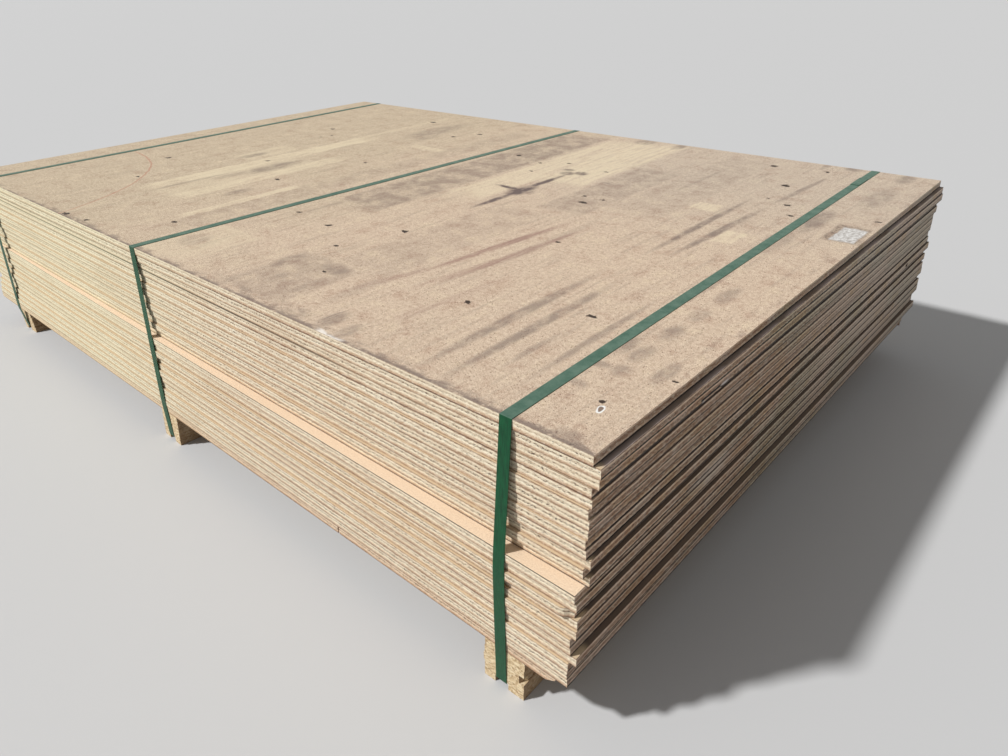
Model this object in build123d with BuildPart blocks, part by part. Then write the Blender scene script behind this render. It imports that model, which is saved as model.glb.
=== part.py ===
from build123d import *
from math import cos, radians, sin, tan
import os

os.makedirs("parts", exist_ok=True)

# A strapped stack of raw particleboard sheets lying on three built-up bearers.
# Millimetres and degrees, +Z up, the bearers stand on z = 0. X runs along the sheets,
# Y across them with the near long side at -Y, and the origin is under the middle of the stack.

# Sheets
sheet_length = 2700.0
sheet_width = 1800.0
sheet_thick = 19.0
joint_gap = 0.3  # air between two sheets that lie on each other

# Each sheet from the top down: how far its right end and its near side stand out
# past the ideal block, and how far it is turned clockwise about its near right corner
sheet_places = [
    (-5, 0, 0.1), (6, -3, 0.05), (4, -3, 0.2), (-8, -2, 0.25), (-7, -3, 0.3),
    (-11, 0, 0.3), (-9, 0, 0.25), (-11, -1, 0.3), (-14, 1, 0.3), (-13, 0, 0.35),
    (-7, -4, 0.3), (-17, 1, 0.35), (-10, -7, 0.25), (-18, 20, 0.65), (-16, 17, 0.6),
    (-24, 22, 0.65), (-17, 13, 0.55), (-16, 17, 0.55), (-25, 21, 0.55), (-25, 19, 0.55),
    (-15, 16, 0.5), (-29, 20, 0.5), (-31, 19, 0.4), (-31, 18, 0.3), (-32, 16, 0.25),
]

# Broken right end of the lowest sheet: how deep it is broken off at the near corner,
# at its far end, and how much deeper at the underside than at the top
base_break_near = 23.0
base_break_far = 12.0
base_break_slope = 26.0

# Sheet 16 has lost its near right corner, sheet 11 has a gouge in its right end,
# and sheet 3 has split open along the lower edge of its right end
corner_sheet = 16
corner_loss_long = 26.0
corner_loss_wide = 12.0
gouge_sheet = 11
gouge_from_near = 1580.0
gouge_length = 36.0
gouge_height = 12.0
gouge_depth = 7.0
split_sheet = 3
split_from_near = 340.0
split_length = 68.0
split_height = 4.0
split_depth = 10.0

# Upright crack in the near side of the lowest sheet, from its right end
crack_from_right = 613.0
crack_width = 2.5
crack_depth = 9.0

# Bearers: strips of the same board, laid on each other and cut off near the sheets' sides
strip_count = 5
strip_thick = 19.0
bearer_length = sheet_width
bearer_width = 92.0
strip_shifts = {  # each strip's sideways shift, from the top strip down
    "right": (3, 1, -2, 0, -1),
    "middle": (6, 3, 0, -3, -6),
    "left": (-9, -5, 0, 4, 8),
}
notch_strip = 3
notch_length = 14.0
notch_width = 9.0
groove_depth = 15.0
groove_spare = 3.0  # free width in the groove on each side of the strap

# Straps
strap_width = 25.0
strap_thick = 1.0
strap_ease = 0.2  # how closely a strap lies to the edges that it goes round
lap_side = "right"  # the strap whose welded lap shows on top
lap_length = 90.0
lap_from_far = 110.0

# Each strap with its bearer: how far the strap's middle on the near top edge lies from the
# ideal block's right end, how far the strap drifts on from there down to its foot and back
# to the far edge, how far the bearer's middle lies to the right of the strap's foot, and
# how far the bearer's near end stands out
strap_places = {
    "right": (165.0, 14.0, 23.0, 6.0, 16.0),
    "middle": (sheet_length / 2 + 61.0, 14.0, -65.0, 7.0, 9.0),
    "left": (sheet_length - 165.0, 30.0, 50.0, 2.0, -8.0),
}

pitch = sheet_thick + joint_gap
sheet_count = len(sheet_places)
bearer_height = strip_count * strip_thick
stack_top = bearer_height + sheet_count * pitch - joint_gap


def sheet_corners(end_out, side_out, turn):
    """Plan corners of a sheet, from the ideal block's near right corner."""
    along = (-cos(radians(turn)) * sheet_length, sin(radians(turn)) * sheet_length)
    across = (sin(radians(turn)) * sheet_width, cos(radians(turn)) * sheet_width)
    near_right = (end_out, -side_out)
    near_left = (end_out + along[0], along[1] - side_out)
    far_right = (end_out + across[0], across[1] - side_out)
    far_left = (near_left[0] + across[0], near_left[1] + across[1])
    return [near_right, near_left, far_right, far_left]


# The origin lies under the middle of everything, so the ideal block's corner is set from it
all_corners = [corner for place in sheet_places for corner in sheet_corners(*place)]
corner_x = -(min(x for x, y in all_corners) + max(x for x, y in all_corners)) / 2
corner_y = -(min(y for x, y in all_corners) + max(y for x, y in all_corners)) / 2


def sheet_underside(number):
    """Height of a sheet's underside, counted from the top."""
    return stack_top - sheet_thick - (number - 1) * pitch


def sheet_plane(number, height):
    """Plane at a sheet's near right corner, turned with it, at a height above its underside."""
    end_out, side_out, turn = sheet_places[number - 1]
    corner = (corner_x + end_out, corner_y - side_out, sheet_underside(number) + height)
    return Plane(origin=corner, x_dir=(cos(radians(turn)), -sin(radians(turn)), 0), z_dir=(0, 0, 1))


# Sheets: plain sawn rectangles, with the damage that some of them carry
for number in range(1, sheet_count + 1):
    with BuildPart() as sheet:
        with BuildSketch(sheet_plane(number, 0)):
            Rectangle(sheet_length, sheet_width, align=(Align.MAX, Align.MIN))
        extrude(amount=sheet_thick)

        if number == corner_sheet:
            with BuildSketch(sheet_plane(number, 0)):
                with BuildLine():
                    Polyline(
                        (1, -1),
                        (1, corner_loss_wide),
                        (-corner_loss_long * 0.3, corner_loss_wide * 0.7),
                        (-corner_loss_long * 0.55, corner_loss_wide * 0.25),
                        (-corner_loss_long, -1),
                        close=True,
                    )
                make_face()
            extrude(amount=sheet_thick, mode=Mode.SUBTRACT)

        if number == gouge_sheet:
            middle = (0, gouge_from_near, sheet_thick * 0.55)
            gouge_plane = Plane(sheet_plane(number, 0).from_local_coords(Vector(*middle)),
                                x_dir=(0, 1, 0), z_dir=(1, 0, 0))
            with BuildSketch(gouge_plane):
                Ellipse(gouge_length / 2, gouge_height / 2)
            extrude(amount=-gouge_depth, taper=35, mode=Mode.SUBTRACT)

        if number == split_sheet:
            with BuildSketch(sheet_plane(number, 0)):
                with BuildLine():
                    start = (1, split_from_near - split_length / 2)
                    end = (1, split_from_near + split_length / 2)
                    Line(start, end)
                    ThreePointArc(start, (-split_depth, split_from_near), end)
                make_face()
            extrude(amount=split_height, mode=Mode.SUBTRACT)

        if number == sheet_count:
            # The broken end slopes in under the sheet and runs out ragged towards the far side
            with BuildSketch(Plane(sheet_plane(number, 0).origin, x_dir=(1, 0, 0), z_dir=(0, -1, 0))):
                with BuildLine():
                    Polyline(
                        (1, -1),
                        (1, sheet_thick + 1),
                        (-base_break_near, sheet_thick + 1),
                        (-base_break_near - 3, sheet_thick * 0.6),
                        (-base_break_near - base_break_slope, -1),
                        close=True,
                    )
                make_face()
            with BuildSketch(Plane(sheet_plane(number, 0).from_local_coords(Vector(0, sheet_width, 0)),
                                   x_dir=(1, 0, 0), z_dir=(0, -1, 0))):
                with BuildLine():
                    Polyline(
                        (1, -1),
                        (1, sheet_thick + 1),
                        (-base_break_far, sheet_thick + 1),
                        (-base_break_far - 2, sheet_thick * 0.6),
                        (-base_break_far - base_break_slope * 0.4, -1),
                        close=True,
                    )
                make_face()
            loft(mode=Mode.SUBTRACT)
            crack_middle = Vector(-crack_from_right, 0, 0)
            with BuildSketch(Plane(sheet_plane(number, 0).from_local_coords(crack_middle))):
                with BuildLine():
                    Polyline((-crack_width, -1), (crack_width, -1), (0, crack_depth), close=True)
                make_face()
            extrude(amount=sheet_thick, mode=Mode.SUBTRACT)

    node = f"sheet_{number:02d}"
    sheet.part.label = node
    export_step(sheet.part, f"parts/{node}.step")


# Bearers: five strips each, the lowest grooved underneath for the strap
for side, (near_edge, foot_drift, far_drift, bearer_shift, end_out) in strap_places.items():
    turn = -far_drift / sheet_width
    foot_x = corner_x - near_edge - foot_drift
    for strip in range(1, strip_count + 1):
        shift = bearer_shift + strip_shifts[side][strip - 1]
        base_z = bearer_height - strip * strip_thick
        end_plane = Plane(
            origin=(foot_x, corner_y - end_out, base_z),
            x_dir=(cos(turn), -sin(turn), 0),
            z_dir=(0, 0, 1),
        )
        with BuildPart() as bearer_strip:
            with BuildSketch(end_plane):
                with Locations((shift, 0)):
                    Rectangle(bearer_width, bearer_length, align=(Align.CENTER, Align.MIN))
            extrude(amount=strip_thick)

            if strip == strip_count:
                with BuildSketch(end_plane):
                    with Locations((0, bearer_length / 2)):
                        Rectangle(strap_width + 2 * groove_spare, bearer_length + 20)
                extrude(amount=groove_depth, mode=Mode.SUBTRACT)

            if strip == notch_strip and side == "right":
                with BuildSketch(end_plane):
                    with BuildLine():
                        corner = shift + bearer_width / 2
                        Polyline(
                            (corner + 1, -1),
                            (corner + 1, notch_length),
                            (corner - notch_width * 0.5, notch_length * 0.8),
                            (corner - notch_width, -1),
                            close=True,
                        )
                    make_face()
                extrude(amount=strip_thick, mode=Mode.SUBTRACT)

        node = f"bearer_{side}_strip_{strip}"
        bearer_strip.part.label = node
        export_step(bearer_strip.part, f"parts/{node}.step")


def side_points(near_edge, foot_drift, far_drift):
    """Edge points (y, z) of the sheets' near and far sides along a strap's drifting runs."""
    points = []
    for number, (end_out, side_out, turn) in enumerate(sheet_places, start=1):
        slope = tan(radians(turn))
        for leftward in (-strap_width / 2, strap_width / 2 + foot_drift):
            near = corner_y - side_out + (end_out + near_edge + leftward) * slope
            far = near + far_drift * slope + sheet_width / cos(radians(turn))
            for z in (sheet_underside(number), sheet_underside(number) + sheet_thick):
                points += [(near, z), (far, z)]
    return points


def turns_right(a, b, c):
    """Whether the way from a over b to c turns right or hardly turns at all."""
    return (b[0] - a[0]) * (c[1] - a[1]) - (b[1] - a[1]) * (c[0] - a[0]) < 1.0


def tight_outline(points):
    """Corners of the tightest convex loop round the points, counter-clockwise."""
    ordered = sorted(set(points))
    outline = []
    for row in (ordered, ordered[::-1]):
        chain = []
        for point in row:
            while len(chain) > 1 and turns_right(chain[-2], chain[-1], point):
                chain.pop()
            chain.append(point)
        outline += chain[:-1]
    return outline


def band_outline(start, end, spare):
    """Corners of a strap-wide band from start to end, drawn out at both ends by a share of it."""
    half = strap_width / 2
    step = (spare * (end[0] - start[0]), spare * (end[1] - start[1]))
    first = (start[0] - step[0], start[1] - step[1])
    last = (end[0] + step[0], end[1] + step[1])
    return [
        (first[0] - half, first[1]),
        (first[0] + half, first[1]),
        (last[0] + half, last[1]),
        (last[0] - half, last[1]),
    ]


def field_round_band(start, end, spare):
    """Sketch of a wide field with the band left out of it, which trims a run to its slant."""
    outline = band_outline(start, end, spare)
    middle_x = (start[0] + end[0]) / 2
    middle_y = (start[1] + end[1]) / 2
    with Locations((middle_x, middle_y)):
        Rectangle(2 * field_width, abs(outline[2][1] - outline[0][1]))
    Polygon(*outline, align=None, mode=Mode.SUBTRACT)


# Straps: a tight loop round sheets and bearer, pulled straight from edge to edge
for side, (near_edge, foot_drift, far_drift, bearer_shift, end_out) in strap_places.items():
    turn = -far_drift / sheet_width
    bearer_skew = strap_width / 2 * abs(sin(turn))
    bearer_near = corner_y - end_out - bearer_skew
    bearer_far = corner_y - end_out + bearer_length * cos(turn) + bearer_skew
    loop_points = side_points(near_edge, foot_drift, far_drift)
    for y in (bearer_near, bearer_far):
        loop_points += [(y, groove_depth), (y, bearer_height)]

    # Where the strap's middle runs, seen from above on top and under the bearer
    top_near = (corner_x - near_edge, corner_y)
    top_far = (top_near[0] - far_drift, corner_y + sheet_width)
    foot_near = (top_near[0] - foot_drift, corner_y - end_out)
    foot_far = (foot_near[0] - far_drift, foot_near[1] + sheet_width)
    field_width = strap_width + 2 * (abs(foot_drift) + abs(far_drift)) + 80
    band_start = (top_near[0] + foot_far[0]) / 2 - field_width / 2
    half_way = corner_y + sheet_width / 2
    stand_off = strap_ease + 2 * strap_thick

    with BuildSketch(Plane.YZ.offset(band_start)) as wrapped:
        with BuildLine():
            Polyline(*tight_outline(loop_points), close=True)
        make_face()
        offset(amount=strap_ease)

    with BuildPart() as strap:
        with BuildSketch(Plane.YZ.offset(band_start)):
            add(wrapped.sketch_local)
            offset(amount=strap_thick)
            add(wrapped.sketch_local, mode=Mode.SUBTRACT)
        extrude(amount=field_width)

        # The run over the top, and the run under the bearer along its groove
        with BuildSketch(Plane.XY.offset(stack_top)):
            field_round_band(top_near, top_far, 0.1)
        extrude(amount=stand_off, mode=Mode.SUBTRACT)
        with BuildSketch(Plane.XY.offset(groove_depth)):
            field_round_band(foot_near, foot_far, 0.1)
        extrude(amount=-stand_off, mode=Mode.SUBTRACT)

        # The runs down the near side and the far side
        with BuildSketch(Plane.XZ.offset(-half_way)):
            field_round_band((foot_near[0], groove_depth), (top_near[0], stack_top), 0)
        extrude(amount=sheet_width, mode=Mode.SUBTRACT)
        with BuildSketch(Plane.XZ.offset(-half_way)):
            field_round_band((foot_far[0], groove_depth), (top_far[0], stack_top), 0)
        extrude(amount=-sheet_width, mode=Mode.SUBTRACT)

        # The lap where the strap's two ends are welded on each other, near the far edge
        if side == lap_side:
            lap_far = (top_far[0], top_far[1] - lap_from_far)
            slope = -far_drift / sheet_width
            lap_near = (lap_far[0] - slope * lap_length, lap_far[1] - lap_length)
            with BuildSketch(Plane.XY.offset(stack_top + strap_ease + strap_thick)):
                Polygon(*band_outline(lap_near, lap_far, 0), align=None)
            extrude(amount=strap_thick)

    node = f"strap_{side}"
    strap.part.label = node
    export_step(strap.part, f"parts/{node}.step")
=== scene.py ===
from math import cos, radians, sin

import bpy
from mathutils import Matrix, Vector


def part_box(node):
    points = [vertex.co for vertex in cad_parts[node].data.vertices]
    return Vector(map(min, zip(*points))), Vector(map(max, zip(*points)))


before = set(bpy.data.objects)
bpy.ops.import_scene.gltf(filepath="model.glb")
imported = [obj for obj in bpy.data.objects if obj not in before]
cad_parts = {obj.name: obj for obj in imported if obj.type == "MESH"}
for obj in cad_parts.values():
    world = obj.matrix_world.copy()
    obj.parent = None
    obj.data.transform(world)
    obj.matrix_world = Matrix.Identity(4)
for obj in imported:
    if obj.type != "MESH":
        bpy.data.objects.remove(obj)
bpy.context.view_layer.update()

# Sizes read from the frame, in metres
TOP_LOW, TOP_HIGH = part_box("sheet_01")
NEXT_LOW, NEXT_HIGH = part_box("sheet_02")
LAST_LOW, LAST_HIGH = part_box("sheet_25")
STACK_TOP = TOP_HIGH[2]
PITCH = TOP_HIGH[2] - NEXT_HIGH[2]
THICK = TOP_HIGH[2] - TOP_LOW[2]
STRIPS = 5  # the number of board strips in each bearer
STRIP = LAST_LOW[2] / STRIPS
SHEETS = [f"sheet_{number:02d}" for number in range(2, 25)]
BEARERS = [f"bearer_{side}_strip_{n}"
           for side in ("right", "middle", "left") for n in range(1, STRIPS + 1)]
STRAPS = ["strap_right", "strap_middle", "strap_left"]

# How far the sheets' sawn edges are rounded, in metres
BROKEN_EDGE = 0.0005

# The near right top corner of the ideal stack; places on the stack are measured from it
TOP_TURN = 0.1  # how far the top sheet is turned clockwise, in degrees
TOP_END_OUT = -0.005  # how far its right end stands out past the ideal stack's
BLOCK_CORNER = (
    TOP_HIGH[0] - TOP_END_OUT - sin(radians(TOP_TURN)) * (TOP_HIGH[1] - TOP_LOW[1]),
    TOP_LOW[1],
    STACK_TOP,
)

# The materials measure in millimetres from that corner, with depths from the stack's top
PITCH_MM = PITCH * 1000
THICK_MM = THICK * 1000
STRIP_MM = STRIP * 1000
LAST_DEPTH = (STACK_TOP - LAST_HIGH[2]) * 1000
LEDGE_JOINT = 13  # the joint over the wide ledge on the near side
LEDGE_DEPTH = LEDGE_JOINT * PITCH_MM
LEFT_JOINT = 3  # the joint with painted shade under its overhanging sheet along the left part
SPLIT_Y = 334  # the split in the third sheet's right end
SPLIT_ABOVE_FOOT = 6.2
SPLIT_DEPTH = 2 * PITCH_MM + THICK_MM - SPLIT_ABOVE_FOOT
SPLIT_HALF = 38

# Camera: measured from that corner, in metres and degrees
CAMERA_FROM_CORNER = (0.4723, -0.7114, 0.6107)
CAMERA_TURN = -41.81
CAMERA_TILT = 25.41
CAMERA_ROLL = -1.61
FOCAL_PIXELS = 748.1
IMAGE_WIDTH = 1008
IMAGE_HEIGHT = 756
AXIS_X = 503.64  # where the lens axis meets the image
AXIS_Y = 322.31

# Light
SUN_TRAVEL = (0.38, 0.57, -0.73)
SUN_STRENGTH = 3.38
SUN_SPREAD = 4  # degrees across, for soft shadow borders
SKY_STRENGTH = 0.31
BACKDROP = 0.60  # the sky's brightness where it is seen
FLOOR_SIZE = 160
FLOOR_GREY = 0.56
FLOOR_BOUNCE = 0.36  # the floor's grey for the light off it, so that it doesn't flood the sides

# Marks on the top sheet, in millimetres from the corner: middle x and y, half length along
# x and y, and how strong. Grime is dark, and pale marks are bare yellowish wood.
GRIME = [
    # Two long streaks beside the right strap, and fainter ones further left
    (-385, 290, 21, 330, 0.50), (-325, 290, 19, 340, 0.52), (-368, 1010, 15, 340, 0.64),
    (-272, 200, 12, 110, 0.32), (-210, 310, 14, 260, 0.42), (-577, 1400, 12, 260, 0.32),
    (-1285, 1180, 17, 440, 0.36), (-1222, 1200, 12, 230, 0.28), (-1300, 620, 18, 340, 0.30),
    (-600, 640, 22, 330, 0.16), (-1905, 420, 18, 190, 0.34),
    # Smudges between the right strap and the end, one behind the other
    (-110, 620, 26, 70, 0.36), (-110, 500, 24, 46, 0.36), (-112, 400, 28, 52, 0.44),
    (-155, 310, 32, 58, 0.42), (-112, 300, 26, 50, 0.44), (-45, 265, 21, 62, 0.46),
    (-150, 225, 32, 18, 0.44), (-108, 225, 24, 30, 0.40), (-140, 150, 26, 17, 0.38),
    (-160, 640, 12, 150, 0.32), (-62, 22, 34, 20, 0.38), (-150, 1200, 40, 150, 0.52),
    (-165, 980, 44, 150, 0.30), (-88, 1750, 36, 74, 0.46), (-88, 1500, 46, 170, 0.30),
    (-250, 1785, 40, 34, 0.50), (-333, 1770, 14, 56, 0.40),
    # A dark star, and the blotch behind it
    (-952, 977, 40, 90, 1.00), (-955, 1090, 16, 150, 0.95), (-951, 870, 17, 140, 0.90),
    (-1006, 984, 68, 16, 0.95), (-962, 1222, 34, 30, 0.85), (-925, 1246, 34, 30, 0.80),
    (-860, 1765, 30, 60, 0.50), (-1000, 1765, 56, 60, 0.44), (-985, 1262, 30, 22, 0.60),
    (-952, 977, 62, 40, 0.60), (-780, 1195, 48, 9, 0.50),
    # Soft smudges on the left part and near the front
    (-1822, 1470, 80, 240, 0.34), (-1762, 1360, 42, 90, 0.30), (-1848, 700, 56, 160, 0.50),
    (-1870, 560, 30, 120, 0.30), (-2072, 765, 36, 84, 0.50), (-1657, 450, 32, 66, 0.42),
    (-655, 50, 32, 52, 0.46), (-590, 36, 26, 44, 0.40), (-1330, 130, 60, 60, 0.26),
    (-870, 222, 70, 40, 0.50), (-1005, 190, 38, 80, 0.44), (-935, 110, 34, 66, 0.34),
    (-840, 120, 34, 80, 0.34), (-1010, 60, 30, 60, 0.30), (-735, 180, 30, 120, 0.20),
]
GRIME_PANES = [
    (-917, 140, 121, 128, 0.24), (-735, 1150, 84, 300, 0.24), (-1240, 1150, 106, 640, 0.36),
    (-825, 540, 100, 320, 0.14), (-1490, 900, 55, 850, 0.15), (-560, 1350, 90, 420, 0.12),
]
PALE_PANES = [
    (-1057, 1280, 77, 500, 0.60), (-924, 1440, 105, 370, 0.70), (-1951, 765, 49, 505, 0.70),
    (-1762, 610, 42, 350, 0.60), (-1860, 560, 140, 310, 0.34), (-1985, 1450, 18, 300, 0.34),
    (-1560, 405, 20, 215, 0.62), (-1610, 1220, 98, 24, 0.44), (-2070, 820, 62, 125, 0.40),
    (-430, 1150, 42, 38, 0.60), (-270, 950, 32, 54, 0.60), (-1300, 130, 110, 130, 0.36),
]
# Slanted marks: start x and y, end x and y, half width and how strong. Rubs are reddish.
STREAKS = [
    (-318, 700, -298, 1290, 17, 0.62), (-300, 1230, -277, 1700, 14, 0.48),
    (-664, 110, -676, 10, 4, 0.60),
]
RUBS = [
    (-640, 900, -710, 250, 19, 0.54), (-575, 860, -634, 250, 19, 0.54),
    (-606, 600, -655, 200, 12, 0.30), (-520, 470, -566, 60, 20, 0.26),
    (-690, 420, -760, 120, 16, 0.24),
]
# Dark chips of bark and dirt lying on the top sheet: x, y and half length
CHIPS = [
    (-1983, 1601, 13), (-1629, 1523, 12), (-1685, 1433, 12), (-2238, 1254, 12), (-2126, 1163, 8),
    (-2140, 1117, 8), (-1955, 740, 9), (-1688, 613, 11), (-2311, 554, 12), (-1521, 168, 12),
    (-1860, 19, 13), (-1745, 28, 9), (-1633, 935, 8), (-2119, 348, 7), (-1256, 1330, 12),
    (-1039, 1333, 8), (-1120, 1285, 7), (-1078, 1179, 9), (-871, 1309, 7), (-763, 1040, 10),
    (-697, 1040, 9), (-728, 983, 13), (-945, 500, 11), (-1148, 412, 10), (-1313, 441, 7),
    (-1001, 322, 7), (-879, 196, 6), (-505, 270, 10), (-268, 373, 9), (-580, 675, 7),
    (-470, 1690, 11), (-348, 1480, 13), (-305, 1710, 10), (-263, 1292, 10), (-335, 1322, 6),
    (-218, 1205, 9), (-23, 252, 5), (-20, 1285, 8), (-77, 127, 9),
]
# Single marks: middle x and y, half length along x and y
CRUSTED_BORDER = (-870, 10, 260, 52)
TORN_BORDER = (-605, -4, 44, 15)
PLASTER = (-47, 1135, 32, 62)
PLASTER_RIM = 13
WHITE_DROP = (-65, 104, 9, 13)
# The thin reddish curve: its middle, its radius along x, and how much longer it is along y
CURVE_X, CURVE_Y = -2530, -260
CURVE_RADIUS = 690.0
CURVE_STRETCH = 1.136


def srgb(red, green, blue):
    """A colour written as 0 to 255 screen values, as the linear colour that shaders take."""
    def linear(value):
        value /= 255
        return value / 12.92 if value <= 0.04045 else ((value + 0.055) / 1.055) ** 2.4
    return (linear(red), linear(green), linear(blue))


# A board's sawn edge from its upper face, 0, to its lower one, 1: pale outer layers, a pale
# middle with a torn row above it and a browner band below. The right end is more weathered,
# and its layers there also hold painted shade: a darker pitted core and a near-black foot
# under each sheet.
SUNLIT_LAYERS = (
    (0.00, srgb(168, 134, 106)), (0.08, srgb(226, 204, 174)), (0.16, srgb(250, 238, 212)),
    (0.26, srgb(238, 222, 194)), (0.36, srgb(208, 188, 160)), (0.44, srgb(214, 196, 168)),
    (0.54, srgb(253, 242, 216)), (0.66, srgb(244, 226, 196)), (0.77, srgb(212, 182, 150)),
    (0.89, srgb(204, 172, 142)), (0.95, srgb(170, 134, 106)), (1.00, srgb(136, 102, 78)),
)
WEATHERED_SHADED_LAYERS = (
    (0.00, srgb(120, 88, 66)), (0.07, srgb(240, 204, 176)), (0.15, srgb(255, 226, 198)),
    (0.26, srgb(190, 154, 126)), (0.40, srgb(150, 114, 90)), (0.60, srgb(166, 130, 104)),
    (0.75, srgb(212, 178, 150)), (0.86, srgb(255, 224, 196)), (0.92, srgb(164, 130, 106)),
    (0.97, srgb(70, 46, 34)), (1.00, srgb(40, 26, 18)),
)
TORN_ROW = 0.40  # where the row of pits lies in those layers


class Graph:
    """Short calls for building one material's nodes, with places in millimetres."""

    def __init__(self, name):
        self.material = bpy.data.materials.new(name)
        self.material.use_nodes = True
        self.tree = self.material.node_tree
        self.shader = self.tree.nodes["Principled BSDF"]
        here = self.add("ShaderNodeTexCoord").outputs["Object"]
        from_corner = self.vector("SUBTRACT", here, BLOCK_CORNER)
        self.mm = self.vector("MULTIPLY", from_corner, (1000, 1000, -1000))
        self.x, self.y, self.depth = self.split(self.mm)
        normal = self.add("ShaderNodeNewGeometry").outputs["True Normal"]
        self.normal_x, self.normal_y, self.normal_z = self.split(normal)

    def add(self, kind, inputs=None, **settings):
        node = self.tree.nodes.new(kind)
        for key, value in settings.items():
            setattr(node, key, value)
        for key, value in (inputs or {}).items():
            self.feed(node.inputs[key], value)
        return node

    def feed(self, socket, value):
        if isinstance(value, bpy.types.NodeSocket):
            self.tree.links.new(value, socket)
        elif socket.type == "RGBA" and len(value) == 3:
            socket.default_value = (*value, 1.0)
        else:
            socket.default_value = value

    # Numbers

    def math(self, operation, a, b=0.0):
        return self.add("ShaderNodeMath", {0: a, 1: b}, operation=operation).outputs[0]

    def plus(self, a, b):
        return self.math("ADD", a, b)

    def minus(self, a, b):
        return self.math("SUBTRACT", a, b)

    def times(self, a, b):
        return self.math("MULTIPLY", a, b)

    def most(self, a, b):
        return self.math("MAXIMUM", a, b)

    def apart(self, a, b):
        """How far two numbers lie from each other."""
        return self.math("ABSOLUTE", self.minus(a, b))

    def swing(self, value, reach):
        """A value from 0 to 1 as one that swings round 0, with the reach from end to end."""
        return self.times(self.minus(value, 0.5), reach)

    def blend(self, factor, a, b):
        """A number between a and b."""
        node = self.add("ShaderNodeMapRange", {"Value": factor, "To Min": a, "To Max": b})
        return node.outputs["Result"]

    def ramp(self, value, low, high):
        """0 at low, 1 at high and smooth between them."""
        inputs = {"Value": value, "From Min": low, "From Max": high}
        node = self.add("ShaderNodeMapRange", inputs, interpolation_type="SMOOTHSTEP")
        return node.outputs["Result"]

    def fade(self, value, strength, inner=0.35):
        """The strength where the value is small, fading to 0 where it is 1."""
        inputs = {"Value": value, "From Min": 1.0, "From Max": inner, "To Max": strength}
        node = self.add("ShaderNodeMapRange", inputs, interpolation_type="SMOOTHSTEP")
        return node.outputs["Result"]

    def random(self, number, seed=0.0):
        number = self.plus(number, seed)
        node = self.add("ShaderNodeTexWhiteNoise", {"W": number}, noise_dimensions="1D")
        return node.outputs["Value"]

    # Places

    def vector(self, operation, a, b):
        node = self.add("ShaderNodeVectorMath", {0: a, 1: b}, operation=operation)
        return node.outputs["Vector"]

    def split(self, vector):
        return self.add("ShaderNodeSeparateXYZ", {0: vector}).outputs[:3]

    def join(self, x, y, z):
        return self.add("ShaderNodeCombineXYZ", {"X": x, "Y": y, "Z": z}).outputs[0]

    def length(self, vector):
        node = self.add("ShaderNodeVectorMath", {0: vector}, operation="LENGTH")
        return node.outputs["Value"]

    def dot(self, vector, other):
        inputs = {0: vector, 1: other}
        return self.add("ShaderNodeVectorMath", inputs, operation="DOT_PRODUCT").outputs["Value"]

    def stretched(self, scale):
        """The place with each direction multiplied by its own share."""
        return self.vector("MULTIPLY", self.mm, scale)

    def scaled(self, place, x, y, half_x, half_y):
        """The place as seen from x and y, with the half lengths as units."""
        inputs = {0: place, 1: (1 / half_x, 1 / half_y, 0), 2: (-x / half_x, -y / half_y, 0)}
        node = self.add("ShaderNodeVectorMath", inputs, operation="MULTIPLY_ADD")
        return node.outputs["Vector"]

    def layers(self, height, pitch, thick):
        """Which layer a height lies in, how deep in it, and how far from its nearer face."""
        number = self.math("FLOOR", self.math("DIVIDE", height, pitch))
        within = self.minus(height, self.times(number, pitch))
        from_face = self.math("MINIMUM", within, self.minus(thick, within))
        return number, within, from_face

    # Textures and marks

    def noise(self, vector, size, detail=2.0, rough=0.5):
        """Noise whose blotches are about size across, in the vector's unit."""
        inputs = {"Vector": vector, "Scale": 1 / size, "Detail": detail, "Roughness": rough}
        return self.add("ShaderNodeTexNoise", inputs).outputs["Fac"]

    def cells(self, vector, size):
        """Distance from the nearest cell middle, and the cell's own random value."""
        node = self.add("ShaderNodeTexVoronoi", {"Vector": vector, "Scale": 1 / size})
        own = self.add("ShaderNodeTexWhiteNoise", {"Vector": node.outputs["Position"]})
        return node.outputs["Distance"], own.outputs["Value"]

    def spot(self, place, x, y, half_x, half_y, strength):
        """An oval mark."""
        return self.fade(self.length(self.scaled(place, x, y, half_x, half_y)), strength)

    def pane(self, place, x, y, half_x, half_y, strength, inner=0.8):
        """A mark with four straight sides."""
        scaled = self.scaled(place, x, y, half_x, half_y)
        sides = self.add("ShaderNodeVectorMath", {0: scaled}, operation="ABSOLUTE")
        side_x, side_y = self.split(sides.outputs["Vector"])[:2]
        return self.fade(self.most(side_x, side_y), strength, inner)

    def rub(self, place, x0, y0, x1, y1, half_width, strength):
        """A narrow mark from one place to another."""
        along = Vector((x1 - x0, y1 - y0, 0))
        across = Vector((along.y, -along.x, 0)).normalized() / half_width
        offset = self.vector("SUBTRACT", place, ((x0 + x1) / 2, (y0 + y1) / 2, 0))
        beside = self.dot(offset, across)
        ahead = self.dot(offset, along * 2 / along.length_squared)
        return self.fade(self.length(self.join(beside, ahead, 0.0)), strength)

    def pile(self, masks):
        """The strongest of several marks at each place."""
        total = None
        for mask in masks:
            total = mask if total is None else self.most(total, mask)
        return total

    # Colours

    def mix(self, factor, a, b, blend="MIX"):
        node = self.add("ShaderNodeMix", data_type="RGBA", blend_type=blend, clamp_factor=True)
        for place, value in ((0, factor), (6, a), (7, b)):
            self.feed(node.inputs[place], value)
        return node.outputs[2]

    def shades(self, value, *steps):
        """Colours along a value, each step a place from 0 to 1 and its colour."""
        node = self.add("ShaderNodeValToRGB", {"Fac": value})
        points = node.color_ramp.elements
        while len(points) < len(steps):
            points.new(0.5)
        for point, (place, colour) in zip(points, steps):
            point.position = place
            point.color = (*colour, 1.0)
        return node.outputs["Color"]

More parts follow.
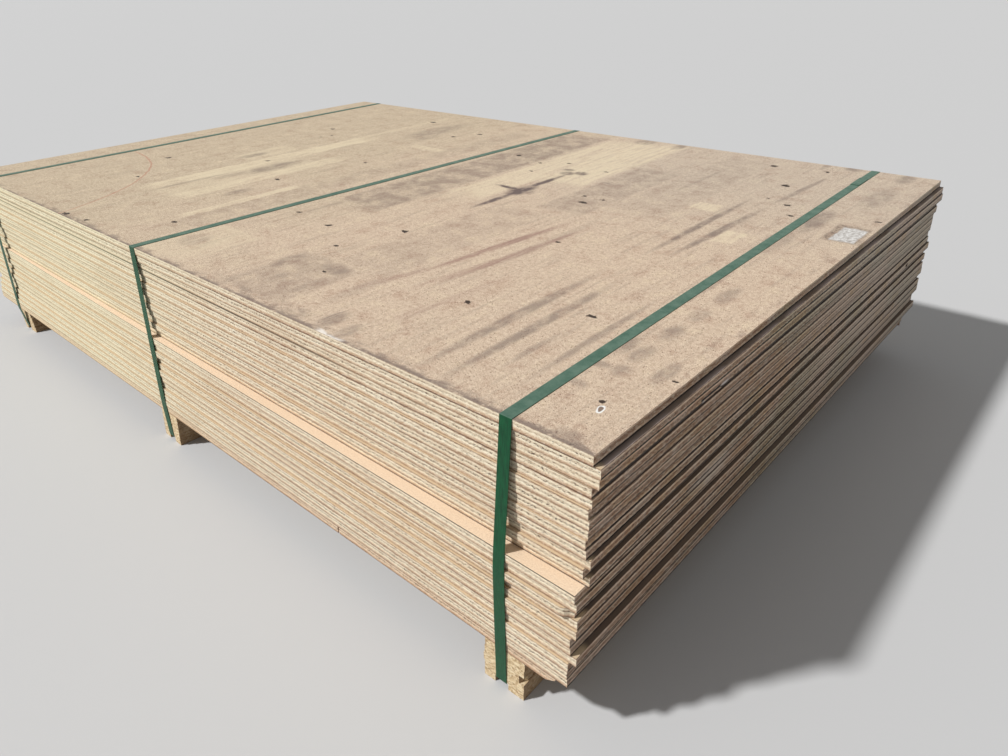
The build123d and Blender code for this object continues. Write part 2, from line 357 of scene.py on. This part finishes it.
    def finish(self, colour, rough, height=None, strength=0.4, distance=0.0006):
        self.feed(self.shader.inputs["Base Color"], colour)
        self.feed(self.shader.inputs["Roughness"], rough)
        if height is not None:
            inputs = {"Height": height, "Strength": strength, "Distance": distance}
            bump = self.add("ShaderNodeBump", inputs)
            self.feed(self.shader.inputs["Normal"], bump.outputs["Normal"])
        return self.material


class SawnEdge:
    """The sawn edges of the sheets: layers, torn pits, dusty joints, slow changes of tone, and
    painted shade on the stepped right end and at two joints on the near side.
    """

    def __init__(self, graph):
        self.graph = graph
        self.sheet, self.within, self.from_face = graph.layers(graph.depth, PITCH_MM, THICK_MM)
        self.along_x = graph.plus(graph.x, graph.times(self.sheet, 73.0))
        row = graph.join(self.along_x, graph.y, graph.times(graph.depth, 4.0))
        self.tone = graph.random(self.sheet, seed=3.7)
        self.endward = graph.ramp(graph.normal_x, 0.6, 0.8)
        self.nearward = graph.ramp(graph.normal_y, -0.6, -0.8)
        self.chips = graph.noise(row, 9.0, detail=4.0, rough=0.75)
        fines = graph.noise(row, 3.0, detail=2.0, rough=0.7)
        self.wood = graph.plus(graph.times(self.chips, 0.5), graph.times(fines, 0.5))
        slices = graph.join(self.along_x, graph.y, graph.times(self.sheet, 91.0))
        self.drift = graph.noise(slices, 70.0, detail=3.0)

    def layered(self):
        """The board's layers, which wander and are torn in places."""
        graph, wood = self.graph, self.wood
        wander = graph.plus(graph.swing(self.chips, 0.34), graph.swing(self.drift, 0.26))
        shift = graph.blend(graph.random(self.sheet, seed=21.9), -0.07, 0.07)
        share = graph.math("DIVIDE", self.within, THICK_MM)
        self.layer = graph.plus(graph.plus(share, shift), wander)
        sunlit = graph.shades(self.layer, *SUNLIT_LAYERS)
        # On the right end the layers are weathered, and their darker core and near-black foot are
        # painted shade
        weathered = graph.shades(self.layer, *WEATHERED_SHADED_LAYERS)
        colour = graph.mix(self.endward, sunlit, weathered)
        torn = graph.ramp(wood, 0.49, 0.39)
        colour = graph.mix(torn, colour, graph.mix(0.66, colour, srgb(100, 62, 40)))
        bright = graph.ramp(wood, 0.51, 0.60)
        return graph.mix(bright, colour, graph.mix(0.66, colour, srgb(255, 248, 228)))

    def pitted(self, colour):
        """Pits torn out by the saw, in a row that some sheets have more than others."""
        graph = self.graph
        place = graph.join(self.along_x, graph.y, graph.times(graph.depth, 2.8))
        distance, value = graph.cells(place, 5.2)
        off_row = graph.apart(self.layer, TORN_ROW)
        unpitted = graph.blend(graph.random(self.sheet, seed=8.1), 0.90, 0.12)
        unpitted = graph.plus(unpitted, graph.swing(self.drift, 1.6))
        in_row = graph.ramp(off_row, 0.17, 0.08)
        here = graph.times(in_row, graph.math("GREATER_THAN", value, unpitted))
        self.pits = graph.times(graph.ramp(distance, 0.45, 0.32), here)
        return graph.mix(self.pits, colour, srgb(66, 38, 24))

    def jointed(self, colour):
        """Frayed and dusty joint lines, each with its own strength. On the near side painted shade
        lies under the overhanging sheet at one joint along the left part, and at the joint above
        the ledge all along, which also stands a little open."""
        graph = self.graph
        self.joint = graph.math("ROUND", graph.math("DIVIDE", graph.depth, PITCH_MM))
        strength = graph.blend(graph.random(self.joint, seed=11.3), 0.25, 1.0)
        slices = graph.join(graph.x, graph.y, graph.times(self.joint, 90.0))
        patchy = graph.ramp(graph.noise(slices, 60.0, detail=3.0), 0.30, 0.62)
        line = graph.times(graph.ramp(self.from_face, 1.7, 0.6), strength)
        line = graph.times(line, graph.blend(patchy, 0.40, 1.0))
        colour = graph.mix(line, colour, srgb(84, 54, 36))

        # Painted shade under the overhanging sheet, at the joint along the left part and the one
        # above the ledge
        overhang_shade = graph.ramp(self.from_face, 2.5, 1.4)
        at_left_joint = graph.math("COMPARE", self.joint, LEFT_JOINT)
        left_part = graph.times(at_left_joint, graph.ramp(graph.x, -520.0, -700.0))
        shaded_joints = graph.most(left_part, graph.math("COMPARE", self.joint, LEDGE_JOINT))
        overhang_shade = graph.times(graph.times(overhang_shade, shaded_joints), self.nearward)
        return graph.mix(graph.times(overhang_shade, 0.92), colour, srgb(46, 32, 22))

    def toned(self, colour, tint):
        """Each sheet's own tone, and slow changes along the pack: browner here, greyer there."""
        graph = self.graph
        own = graph.blend(self.tone, 0.0, 0.20)
        colour = graph.mix(own, colour, srgb(232, 210, 184), "MULTIPLY")
        thick_slices = graph.join(graph.x, graph.y, graph.times(graph.depth, 3.0))
        slow = graph.noise(thick_slices, 300.0, detail=3.0)
        brown = graph.ramp(slow, 0.46, 0.70)
        colour = graph.mix(brown, colour, graph.mix(0.16, colour, srgb(172, 136, 104)))

        # The right end: greyer towards the back, bleached in places and ochre in others
        grey_here = graph.blend(graph.ramp(slow, 0.58, 0.40), 0.0, 0.75)
        greyed = graph.times(self.endward, grey_here)
        greyed = graph.times(greyed, graph.ramp(graph.y, 60.0, 700.0))
        colour = graph.mix(greyed, colour, srgb(226, 242, 236), "MULTIPLY")
        far = graph.times(graph.ramp(graph.y, 500.0, 1300.0), 0.30)
        self.end_place = graph.join(graph.y, graph.depth, 0.0)
        bleached = graph.times(graph.ramp(self.drift, 0.47, 0.34), 0.14)
        bleached = graph.most(bleached, graph.spot(self.end_place, 405, 262, 110, 34, 0.34))
        far = graph.times(graph.most(far, bleached), self.endward)
        colour = graph.mix(far, colour, srgb(236, 228, 216))
        ochre = graph.times(graph.ramp(self.drift, 0.50, 0.66), self.endward)
        ochre = graph.times(ochre, 0.38)
        colour = graph.mix(ochre, colour, srgb(246, 230, 192), "MULTIPLY")

        # The near side is yellower towards the left, and the lowest sheet redder all round
        leftward = graph.times(self.nearward, graph.ramp(graph.x, -800.0, -1900.0))
        colour = graph.mix(graph.times(leftward, 0.24), colour, srgb(255, 255, 206))
        return graph.mix(tint, colour, srgb(238, 206, 190), "MULTIPLY")

    def shaded(self, colour):
        """Painted shade on the stepped right end: dark lower borders where each sheet overhangs the
        next, a darker lower part, and the shade inside the split in the third sheet, with the pale
        splinter beside it."""
        graph = self.graph
        above_foot = graph.minus(THICK_MM, self.within)
        fray = graph.plus(above_foot, graph.swing(self.chips, 7.0))
        # Painted shade: a dark foot under each sheet's lower arris on the stepped right end, where
        # it overhangs the next
        border = graph.ramp(fray, 4.1, 3.0)
        shade = graph.times(border, graph.blend(graph.random(self.joint, seed=5.3), 0.72, 1.0))
        # Painted shade inside the split in the third sheet
        split = graph.pane(
            self.end_place, SPLIT_Y, SPLIT_DEPTH, SPLIT_HALF, 2.4, 1.0, inner=0.85)
        # Painted shade: the lower part of the right end darker, as less light reaches it
        low = graph.times(graph.ramp(graph.depth, 220.0, 420.0), 0.42)
        low = graph.times(low, self.endward)
        colour = graph.mix(low, colour, srgb(204, 200, 200), "MULTIPLY")
        shade = graph.times(graph.most(shade, split), self.endward)
        colour = graph.mix(shade, colour, srgb(20, 12, 8))
        splinter = graph.spot(self.end_place, SPLIT_Y + 50, SPLIT_DEPTH + 1, 22, 3.6, 0.85)
        splinter = graph.times(splinter, self.endward)
        lip = graph.pane(
            self.end_place, SPLIT_Y + 2, SPLIT_DEPTH + 4.3, SPLIT_HALF, 2.0, 0.85, inner=0.6)
        splinter = graph.most(splinter, graph.times(lip, self.endward))
        return graph.mix(splinter, colour, srgb(222, 214, 210))


def sawn_edge(graph, tint):
    """Colour and height of a sheet's sawn edges."""
    edge = SawnEdge(graph)
    colour = edge.layered()
    colour = edge.pitted(colour)
    colour = edge.jointed(colour)
    colour = edge.toned(colour, tint)
    colour = edge.shaded(colour)
    return colour, graph.minus(edge.wood, edge.pits)


def clean_face(graph):
    """Colour and height of an unmarked board face: pale, smooth and finely speckled, with
    painted shade and some dirt on the narrow ledges of the stepped right end.
    """
    speck = graph.noise(graph.mm, 2.2, detail=2.0, rough=0.7)
    wide = graph.noise(graph.mm, 160.0, detail=3.0)
    colour = graph.shades(speck, (0.30, srgb(206, 180, 152)), (0.50, srgb(232, 209, 181)),
                          (0.70, srgb(246, 228, 204)))
    colour = graph.mix(graph.blend(wide, 0.0, 0.25), colour, srgb(232, 214, 192), "MULTIPLY")
    # Only the wide ledge on the near side is fresh: the narrow ones are dusty
    dusty = graph.math("GREATER_THAN", graph.apart(graph.depth, LEDGE_DEPTH), 2.0)
    colour = graph.mix(graph.times(dusty, 0.8), colour, srgb(196, 174, 140))
    # Painted shade, with some dirt, on the narrow ledges that the stepped right end leaves
    near_end = graph.ramp(graph.x, -50.0, -40.0)
    end_ledge_shade_and_dirt = graph.times(near_end, graph.ramp(graph.y, 4.0, 22.0))
    # Painted shade: darkest in the inner corner under the sheet above, darker on the lower ledges;
    # the wide blotches are dirt
    grey = graph.mix(graph.ramp(graph.x, -5.0, 5.0), srgb(84, 74, 74), srgb(156, 142, 140))
    grey = graph.mix(graph.ramp(graph.depth, 21.0, 60.0), grey, srgb(92, 76, 68))
    grey = graph.mix(graph.ramp(wide, 0.42, 0.62), grey, srgb(100, 84, 74))
    colour = graph.mix(graph.times(end_ledge_shade_and_dirt, 0.88), colour, grey)
    return colour, speck


class MarkedFace:
    """The top sheet's weathered upper face, with its stains and what lies on it."""

    def __init__(self, graph):
        self.graph = graph
        self.wide = graph.noise(graph.mm, 330.0, detail=4.0, rough=0.6)
        self.middling = graph.noise(graph.mm, 60.0, detail=4.0, rough=0.7)
        self.speck = graph.noise(graph.mm, 2.0, detail=3.0, rough=0.75)
        self.grain = graph.noise(graph.mm, 9.0, detail=3.0, rough=0.7)
        self.streaks = graph.noise(graph.stretched((1, 0.06, 1)), 14.0, detail=5.0, rough=0.65)

    def bare(self):
        """Tan wood with fine flecks and dark dots, greyer at the far right."""
        graph = self.graph
        wandering = graph.plus(graph.x, graph.swing(self.wide, 1600.0))
        rightward = graph.ramp(wandering, -2100.0, -700.0)
        colour = graph.mix(rightward, srgb(194, 176, 149), srgb(206, 183, 159))
        cooler = graph.ramp(self.middling, 0.50, 0.68)
        colour = graph.mix(cooler, colour, srgb(234, 226, 224), "MULTIPLY")
        warmer = graph.ramp(self.middling, 0.48, 0.32)
        colour = graph.mix(warmer, colour, graph.mix(0.30, colour, srgb(228, 208, 174)))
        backward = graph.ramp(graph.y, 650.0, 1500.0)
        soiled = graph.times(backward, graph.ramp(graph.x, -1500.0, -600.0))
        colour = graph.mix(soiled, colour, srgb(240, 246, 252), "MULTIPLY")
        fleck = graph.plus(graph.times(self.speck, 0.75), graph.times(self.grain, 0.25))
        dark = graph.ramp(fleck, 0.51, 0.41)
        colour = graph.mix(dark, colour, graph.mix(0.52, colour, srgb(128, 92, 70)))
        bright = graph.ramp(fleck, 0.50, 0.59)
        colour = graph.mix(bright, colour, graph.mix(0.46, colour, srgb(255, 240, 214)))
        distance, value = graph.cells(graph.stretched((1, 1, 0)), 5.6)
        dots = graph.times(graph.ramp(distance, 0.27, 0.13), graph.ramp(value, 0.36, 0.80))
        return graph.mix(graph.times(dots, 0.90), colour, srgb(92, 58, 40))

    def loosen_borders(self):
        """Places for the marks, which wander a little so that no border is ruled."""
        graph = self.graph
        self.flat = graph.stretched((1, 1, 0))
        warp_x = graph.minus(graph.noise(self.flat, 45.0, detail=4.0), 0.5)
        other = graph.vector("ADD", self.flat, (0, 0, 777))
        warp_y = graph.minus(graph.noise(other, 45.0, detail=4.0), 0.5)
        warp = graph.join(warp_x, warp_y, 0.0)
        self.loose = graph.vector("ADD", self.flat, graph.vector("MULTIPLY", warp, (34, 34, 0)))
        self.ruled = graph.vector("ADD", self.flat, graph.vector("MULTIPLY", warp, (9, 20, 0)))

    def paled(self, colour):
        graph = self.graph
        pale = graph.pile(graph.pane(self.loose, *row, inner=0.75) for row in PALE_PANES)
        pale = graph.times(pale, graph.blend(graph.ramp(self.streaks, 0.38, 0.60), 0.30, 1.25))
        return graph.mix(pale, colour, graph.mix(0.7, colour, srgb(236, 220, 186)))

    def grimy(self, colour):
        """Streaks and smudges, broken up as a wheel or a dragged board leaves them."""
        graph = self.graph
        panes = graph.pile(graph.pane(self.ruled, *row, inner=0.8) for row in GRIME_PANES)
        panes = graph.times(panes, graph.blend(graph.ramp(self.middling, 0.38, 0.58), 0.45, 1.2))
        dashes = graph.vector("MULTIPLY", self.flat, (1, 0.5, 1))
        broken = graph.ramp(graph.noise(dashes, 26.0, detail=3.0, rough=0.65), 0.36, 0.58)
        grime = graph.pile(graph.spot(self.ruled, *row) for row in GRIME)
        grime = graph.most(grime, graph.pile(graph.rub(self.ruled, *row) for row in STREAKS))
        grime = graph.times(grime, graph.blend(broken, 0.55, 1.1))
        grime = graph.most(grime, panes)
        grime = graph.times(grime, graph.blend(self.grain, 0.55, 1.45))
        near_edge, end_edge = self.dirty_edges()
        haze = graph.ramp(self.streaks, 0.50, 0.72)
        for other, share in ((near_edge, 0.74), (end_edge, 0.35), (haze, 0.24)):
            grime = graph.most(grime, graph.times(other, share))
        colour = graph.mix(grime, colour, srgb(102, 87, 82))
        rubs = graph.pile(graph.rub(self.ruled, *row) for row in RUBS)
        rubs = graph.times(rubs, graph.blend(graph.ramp(self.streaks, 0.40, 0.58), 0.55, 1.3))
        return graph.mix(rubs, colour, srgb(142, 106, 96))

    def dirty_edges(self):
        """Crusted dirt along the near border and along the right end."""
        graph = self.graph
        crust = graph.noise(graph.stretched((1, 2, 1)), 50.0, detail=4.0, rough=0.7)
        near_edge = graph.times(graph.ramp(graph.y, 34.0, 3.0), graph.ramp(crust, 0.44, 0.62))
        near_part = graph.pane(self.flat, *CRUSTED_BORDER, 0.7, inner=0.3)
        near_part = graph.times(near_part, graph.ramp(crust, 0.38, 0.66))
        near_edge = graph.most(near_edge, near_part)
        near_line = graph.times(graph.ramp(graph.y, 15.0, 4.0), graph.ramp(crust, 0.36, 0.52))
        near_edge = graph.most(near_edge, near_line)
        near_end = graph.ramp(graph.x, -60.0, -4.0)
        smears = graph.noise(graph.stretched((3, 1, 1)), 70.0, detail=4.0, rough=0.7)
        return near_edge, graph.times(near_end, graph.ramp(smears, 0.50, 0.70))

    def curved(self, colour):
        """A thin reddish curve across the left part."""
        graph = self.graph
        centre = graph.scaled(self.ruled, CURVE_X, CURVE_Y, 1.0, CURVE_STRETCH)
        curve = graph.ramp(graph.apart(graph.length(centre), CURVE_RADIUS), 4.5, 1.5)
        curve = graph.times(curve, graph.ramp(graph.x, -2560.0, -2500.0))
        return graph.mix(graph.times(curve, 0.45), colour, srgb(176, 104, 84))

    def littered(self, colour):
        """Chips of bark and dirt, some of them in their own places and others strewn."""
        graph = self.graph
        nearest = None
        for x, y, size in CHIPS:
            away = graph.length(graph.scaled(self.loose, x, y, size, size * 0.8))
            nearest = away if nearest is None else graph.math("MINIMUM", nearest, away)
        torn = graph.swing(self.grain, 2.4)
        chips = graph.ramp(graph.plus(nearest, torn), 1.1, 0.75)
        distance, value = graph.cells(self.ruled, 26.0)
        small = graph.ramp(distance, 0.085, 0.04)
        strewn = graph.times(small, graph.math("GREATER_THAN", value, 0.88))
        chips = graph.most(chips, graph.times(strewn, 0.6))
        return graph.mix(chips, colour, srgb(56, 42, 33))

    def patched(self, colour):
        """Torn pale wood at the near border, a dried patch of plaster and a white drop."""
        graph = self.graph
        torn_border = graph.pane(self.loose, *TORN_BORDER, 0.9, inner=0.5)
        colour = graph.mix(torn_border, colour, srgb(240, 232, 222))

        x, y, half_x, half_y = PLASTER
        rim = graph.pane(self.ruled, x - 6, y + 6, half_x + PLASTER_RIM, half_y + PLASTER_RIM, 0.8)
        rim = graph.times(rim, graph.ramp(self.grain, 0.36, 0.62))
        colour = graph.mix(rim, colour, srgb(96, 78, 66))
        plaster = graph.shades(self.grain, (0.36, srgb(158, 152, 146)), (0.60, srgb(226, 224, 220)))
        colour = graph.mix(graph.pane(self.ruled, *PLASTER, 0.92), colour, plaster)

        drop = graph.length(graph.scaled(self.loose, *WHITE_DROP))
        colour = graph.mix(graph.ramp(drop, 1.0, 0.75), colour, srgb(238, 236, 232))
        return graph.mix(graph.ramp(drop, 0.62, 0.45), colour, srgb(132, 112, 98))


def marked_face(graph):
    """Colour and height of the top sheet's upper face."""
    face = MarkedFace(graph)
    colour = face.bare()
    face.loosen_borders()
    colour = face.paled(colour)
    colour = face.grimy(colour)
    colour = face.curved(colour)
    colour = face.littered(colour)
    colour = face.patched(colour)
    return colour, face.speck


def board(name, face, tint=0.0):
    """A sheet's material: sawn edges, and a face that is either clean or marked. The tint
    reddens the edges of the lowest sheet."""
    graph = Graph(name)
    lowest = graph.ramp(graph.depth, LAST_DEPTH - 1.0, LAST_DEPTH + 1.0)
    edge, edge_height = sawn_edge(graph, graph.times(lowest, tint))
    clean, clean_height = clean_face(graph)
    level = graph.ramp(graph.math("ABSOLUTE", graph.normal_z), 0.6, 0.8)
    colour = graph.mix(level, edge, clean)
    height = graph.add("ShaderNodeMix", {0: level, 2: edge_height, 3: clean_height}).outputs[0]
    if face:
        marked, marked_height = face(graph)
        upward = graph.ramp(graph.normal_z, 0.6, 0.8)
        colour = graph.mix(upward, colour, marked)
        height = graph.add("ShaderNodeMix", {0: upward, 2: height, 3: marked_height}).outputs[0]
    return graph.finish(colour, 0.82, height)


def bearer_board():
    """Coarse board strips: big pale chips on the sawn ends; along the sides darker, from dust
    and from painted shade.
    """
    graph = Graph("bearer_chips")
    from_ground = graph.minus(STACK_TOP * 1000, graph.depth)
    strip, within, from_face = graph.layers(from_ground, STRIP_MM, STRIP_MM)
    along_x = graph.plus(graph.x, graph.times(strip, 61.0))
    row = graph.join(along_x, graph.y, graph.times(graph.depth, 1.8))
    distance, value = graph.cells(row, 4.6)
    soft = graph.noise(row, 3.0, detail=4.0, rough=0.7)
    value = graph.plus(graph.times(value, 0.45), graph.times(soft, 0.6))
    colour = graph.shades(value, (0.24, srgb(150, 116, 82)), (0.42, srgb(210, 182, 140)),
                          (0.62, srgb(233, 210, 170)), (0.80, srgb(250, 234, 202)))
    side = graph.ramp(graph.math("ABSOLUTE", graph.normal_x), 0.6, 0.8)
    line = graph.times(graph.ramp(from_face, 1.6, 0.4), graph.blend(side, 0.22, 0.75))
    colour = graph.mix(line, colour, srgb(110, 76, 48))
    dusty = graph.noise(graph.mm, 40.0, detail=4.0)
    # The sides darker, from dust and from painted shade
    dusty = graph.times(side, graph.blend(dusty, 0.35, 0.85))
    colour = graph.mix(dusty, colour, srgb(128, 92, 62))
    return graph.finish(colour, 0.88, graph.plus(value, soft), 0.6, 0.001)


def strap_plastic():
    """Green embossed strapping, dusty where it lies flat on top."""
    graph = Graph("strap_green")
    dust = graph.noise(graph.mm, 30.0, detail=4.0, rough=0.7)
    scuff = graph.noise(graph.stretched((1, 0.15, 0.15)), 3.0, detail=3.0)
    upward = graph.ramp(graph.normal_z, 0.3, 0.8)
    green = graph.shades(scuff, (0.30, srgb(2, 60, 33)), (0.70, srgb(8, 84, 48)))
    dusty = graph.shades(dust, (0.30, srgb(60, 94, 78)), (0.70, srgb(98, 124, 108)))
    colour = graph.mix(upward, green, dusty)
    run = graph.plus(graph.y, graph.depth)
    weave_a = graph.math("SINE", graph.times(graph.plus(graph.x, run), 2.4))
    weave_b = graph.math("SINE", graph.times(graph.minus(graph.x, run), 2.4))
    emboss = graph.times(weave_a, weave_b)
    graph.shader.inputs["Specular IOR Level"].default_value = 0.25
    return graph.finish(colour, graph.blend(upward, 0.36, 0.5), emboss, 0.3, 0.0003)


def dress(names, material):
    for name in names:
        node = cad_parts[name]
        for place in range(len(node.material_slots)):
            node.material_slots[place].material = material


def soften(names, width):
    """Break the sharp CAD edges a little, as sawn boards have them."""
    for name in names:
        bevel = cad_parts[name].modifiers.new("broken_edge", "BEVEL")
        bevel.width = width
        bevel.segments = 2
        bevel.limit_method = "ANGLE"
        bevel.angle_limit = radians(40)
        bevel.harden_normals = False


def lay_floor():
    """A pale floor, which throws back less light than it looks as if it would."""
    bpy.ops.mesh.primitive_plane_add(size=FLOOR_SIZE, location=(0, 0, 0))
    floor = bpy.context.object
    floor.name = "floor"
    graph = Graph("floor_paint")
    path = graph.add("ShaderNodeLightPath").outputs
    seen = graph.most(path["Is Camera Ray"], path["Is Glossy Ray"])
    seen = graph.most(seen, path["Is Transmission Ray"])
    grey = graph.blend(seen, FLOOR_BOUNCE, FLOOR_GREY)
    floor.data.materials.append(graph.finish(graph.join(grey, grey, grey), 0.9))


def light_studio():
    """One sun, and a sky that is pale where it is seen and weaker as a light."""
    world = bpy.data.worlds.new("studio")
    bpy.context.scene.world = world
    world.use_nodes = True
    nodes, links = world.node_tree.nodes, world.node_tree.links
    background = nodes["Background"]
    background.inputs["Color"].default_value = (1, 1, 1, 1)
    path = nodes.new("ShaderNodeLightPath").outputs
    seen = path["Is Camera Ray"]
    for kind in ("Is Glossy Ray", "Is Transmission Ray"):
        either = nodes.new("ShaderNodeMath")
        either.operation = "MAXIMUM"
        links.new(seen, either.inputs[0])
        links.new(path[kind], either.inputs[1])
        seen = either.outputs[0]
    strength = nodes.new("ShaderNodeMapRange")
    strength.inputs["To Min"].default_value = SKY_STRENGTH
    strength.inputs["To Max"].default_value = BACKDROP
    links.new(seen, strength.inputs["Value"])
    links.new(strength.outputs["Result"], background.inputs["Strength"])
    data = bpy.data.lights.new("key", "SUN")
    data.energy = SUN_STRENGTH
    data.angle = radians(SUN_SPREAD)
    lamp = bpy.data.objects.new("key", data)
    bpy.context.collection.objects.link(lamp)
    lamp.rotation_euler = Vector(SUN_TRAVEL).to_track_quat("-Z", "Y").to_euler()


def set_camera():
    """The photograph's viewpoint, with its roll and its lens axis above the middle."""
    data = bpy.data.cameras.new("camera")
    camera = bpy.data.objects.new("camera", data)
    bpy.context.collection.objects.link(camera)
    turn, tilt, roll = (radians(v) for v in (CAMERA_TURN, CAMERA_TILT, CAMERA_ROLL))
    forward = Vector((sin(turn) * cos(tilt), cos(turn) * cos(tilt), -sin(tilt)))
    level = Vector((cos(turn), -sin(turn), 0))
    upward = level.cross(forward)
    right = cos(roll) * level + sin(roll) * upward
    up = -sin(roll) * level + cos(roll) * upward
    place = Vector(BLOCK_CORNER) + Vector(CAMERA_FROM_CORNER)
    axes = Matrix((right, up, -forward)).transposed().to_4x4()
    camera.matrix_world = Matrix.Translation(place) @ axes
    data.sensor_width = 36
    data.lens = FOCAL_PIXELS / IMAGE_WIDTH * data.sensor_width
    data.shift_x = (IMAGE_WIDTH / 2 - AXIS_X) / IMAGE_WIDTH
    data.shift_y = (AXIS_Y - IMAGE_HEIGHT / 2) / IMAGE_WIDTH
    data.clip_start = 0.05
    bpy.context.scene.camera = camera


dress(SHEETS, board("sheet_board", None))
dress(["sheet_01"], board("sheet_board_top", marked_face))
dress(["sheet_25"], board("sheet_board_base", None, 0.35))
dress(BEARERS, bearer_board())
dress(STRAPS, strap_plastic())
soften(["sheet_01", "sheet_25"] + SHEETS, BROKEN_EDGE)
lay_floor()
light_studio()
set_camera()
bpy.context.scene.view_settings.view_transform = "Standard"
